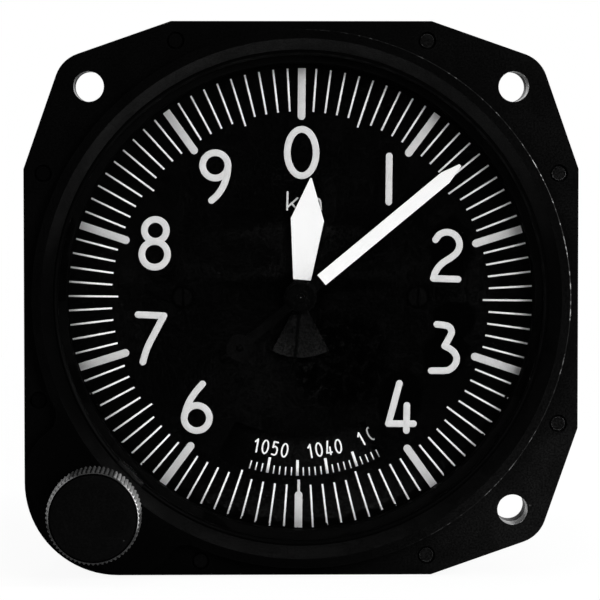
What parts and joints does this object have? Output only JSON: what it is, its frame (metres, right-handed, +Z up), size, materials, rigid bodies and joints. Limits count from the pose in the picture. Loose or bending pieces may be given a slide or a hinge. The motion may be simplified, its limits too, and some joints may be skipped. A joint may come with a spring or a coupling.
{
  "type": "altimeter",
  "caption": "Panel altimeter: square flange, raised ring and knob lobe, two pointers, pressure window, and the geared capsule movement inside.",
  "frame": {"origin": "centre of the dial, on the front face of the square flange", "axes": "+Y goes back through the case, -Y faces the reader, +Z is up the dial and +X is to its right"},
  "size_m": [0.0822, 0.1118, 0.0822],
  "materials": {
    "frame_black": "black stoved crackle-free paint, worn to metal on the ring's edge",
    "case_black": "satin black paint over cast alloy",
    "gasket_rubber": "black sheet rubber",
    "black_screw": "blacked steel screws",
    "cover_glass": "clear polished glass",
    "seal_rubber": "black rubber",
    "spring_steel": "blacked spring wire with worn highlights",
    "dial_black": "matt black dial paint",
    "dial_screw_black": "blacked brass screws",
    "cast_alloy": "machined alloy",
    "bright_steel": "steel",
    "gear_brass": "satin brass",
    "blued_steel": "blued steel",
    "port_alloy": "anodised alloy",
    "knob_black": "matt black, knurl worn to bright metal",
    "scale_black": "matt black scale paint",
    "capsule_bronze": "corrugated beryllium bronze",
    "pointer_white": "white painted blade, dark tail"
  },
  "bodies": {
    "case": {"front_frame": "frame_black", "case_body": "case_black", "frame_gasket": "gasket_rubber", "frame_screws": "black_screw", "glass": "cover_glass", "glass_seal": "seal_rubber", "glass_retaining_ring": "spring_steel", "dial_plate": "dial_black", "dial_screws": "dial_screw_black", "bearing_plate": "cast_alloy", "bearing_plate_screws": "bright_steel", "motion_bridge": "gear_brass", "motion_bridge_screws": "blued_steel", "motion_stud": "bright_steel", "idler_stud": "bright_steel", "knob_bush": "gear_brass", "knob_seal": "seal_rubber", "rear_bearing": "gear_brass", "static_port": "port_alloy", "port_seal": "seal_rubber"},
    "knob": {"knob": "knob_black", "knob_set_screw": "black_screw", "knob_shaft": "bright_steel", "shaft_clip": "spring_steel", "disc_pinion": "gear_brass", "movement_pinion": "gear_brass"},
    "pressure_disc": {"pressure_disc": "scale_black"},
    "idler": {"idler_gear": "gear_brass"},
    "movement": {"movement_gear_plate": "gear_brass", "movement_rear_plate": "gear_brass", "movement_pillars": "bright_steel", "pillar_screws": "blued_steel", "centre_cock": "gear_brass", "cock_screws": "blued_steel", "capsule_frame": "cast_alloy", "capsule_frame_screws": "blued_steel", "capsule_base": "bright_steel", "lower_capsule": "capsule_bronze", "upper_capsule": "capsule_bronze", "hairspring": "blued_steel", "hairspring_stud": "bright_steel", "pivot_bushes": "gear_brass"},
    "capsule_post": {"capsule_post": "bright_steel", "link_pin": "bright_steel"},
    "rocker": {"rocking_shaft": "bright_steel", "sector_gear": "gear_brass", "rocker_arm": "gear_brass"},
    "intermediate": {"intermediate_arbor": "bright_steel", "intermediate_wheel": "gear_brass"},
    "long_pointer": {"centre_staff": "bright_steel", "motion_pinion": "gear_brass", "long_pointer": "pointer_white", "pointer_cap": "dial_screw_black"},
    "short_sleeve": {"short_sleeve": "gear_brass"},
    "short_pointer": {"short_wheel": "gear_brass", "short_pointer": "pointer_white"},
    "motion_bush": {"motion_bush": "gear_brass"},
    "motion_wheel": {"motion_wheel": "gear_brass"}
  },
  "joints": [
    {"name": "capsule_rise", "type": "slide", "parent": "movement", "child": "capsule_post", "axis": [0, 0, 1], "range_m": [-0.00023, 0.00515], "deforming": ["lower_capsule", "upper_capsule"]},
    {"name": "knob_turn", "type": "hinge", "parent": "case", "child": "knob", "pos_m": [-0.03057, 0.0123, -0.03136], "axis": [0, 1, 0], "range_deg": [-1283, 98]},
    {"name": "pressure_disc_turn", "type": "hinge", "parent": "case", "child": "pressure_disc", "pos_m": [0, 0.0123, 0], "axis": [0, 1, 0], "range_deg": [-16.06, 204.15]},
    {"name": "idler_turn", "type": "hinge", "parent": "case", "child": "idler", "pos_m": [-0.02178, 0.0123, -0.02234], "axis": [0, 1, 0], "range_deg": [-89.59, 1166.86]},
    {"name": "movement_turn", "type": "hinge", "parent": "case", "child": "movement", "pos_m": [0, 0.0123, 0], "axis": [0, 1, 0], "range_deg": [-313.43, 24.4]},
    {"name": "short_sleeve_turn", "type": "hinge", "parent": "case", "child": "short_sleeve", "pos_m": [0, 0.0123, 0], "axis": [0, 1, 0], "range_deg": [-31.79, 2.89]},
    {"name": "motion_bush_turn", "type": "hinge", "parent": "case", "child": "motion_bush", "pos_m": [0, 0.0123, 0.0065], "axis": [0, 1, 0], "range_deg": [-8.47, 104.81]},
    {"name": "rocker_turn", "type": "hinge", "parent": "movement", "child": "rocker", "pos_m": [0.0085, 0.0123, 0.0175], "axis": [0, 1, 0], "range_deg": [-2.56, 51.01]},
    {"name": "intermediate_turn", "type": "hinge", "parent": "movement", "child": "intermediate", "pos_m": [-0.01231, 0.0123, 0.00747], "axis": [0, 1, 0], "range_deg": [-507.59, 23.13]},
    {"name": "long_pointer_turn", "type": "hinge", "parent": "movement", "child": "long_pointer", "pos_m": [0, 0.0123, 0], "axis": [0, 1, 0], "range_deg": [-159.4, 3550.6]},
    {"name": "short_pointer_turn", "type": "hinge", "parent": "short_sleeve", "child": "short_pointer", "pos_m": [0, 0.0123, 0], "axis": [0, 1, 0], "range_deg": [-16.34, 355.46]},
    {"name": "motion_wheel_turn", "type": "hinge", "parent": "motion_bush", "child": "motion_wheel", "pos_m": [0, 0.0123, 0.0065], "axis": [0, 1, 0], "range_deg": [-1183.7, 53.3]}
  ],
  "couplings": [
    {"joint": "pressure_disc_turn", "follows": "knob_turn", "ratio": -0.15873},
    {"joint": "idler_turn", "follows": "knob_turn", "ratio": -0.90909},
    {"joint": "movement_turn", "follows": "knob_turn", "ratio": 0.2439},
    {"joint": "short_sleeve_turn", "follows": "knob_turn", "ratio": 0.02439},
    {"joint": "motion_bush_turn", "follows": "knob_turn", "ratio": -0.081301},
    {"joint": "rocker_turn", "follows": "capsule_rise", "rad_per_m": 171.95},
    {"joint": "intermediate_turn", "follows": "capsule_rise", "rad_per_m": -1719.5},
    {"joint": "long_pointer_turn", "follows": "capsule_rise", "rad_per_m": 12037},
    {"joint": "short_pointer_turn", "follows": "capsule_rise", "rad_per_m": 1203.7},
    {"joint": "motion_wheel_turn", "follows": "capsule_rise", "rad_per_m": -4012.3}
  ]
}
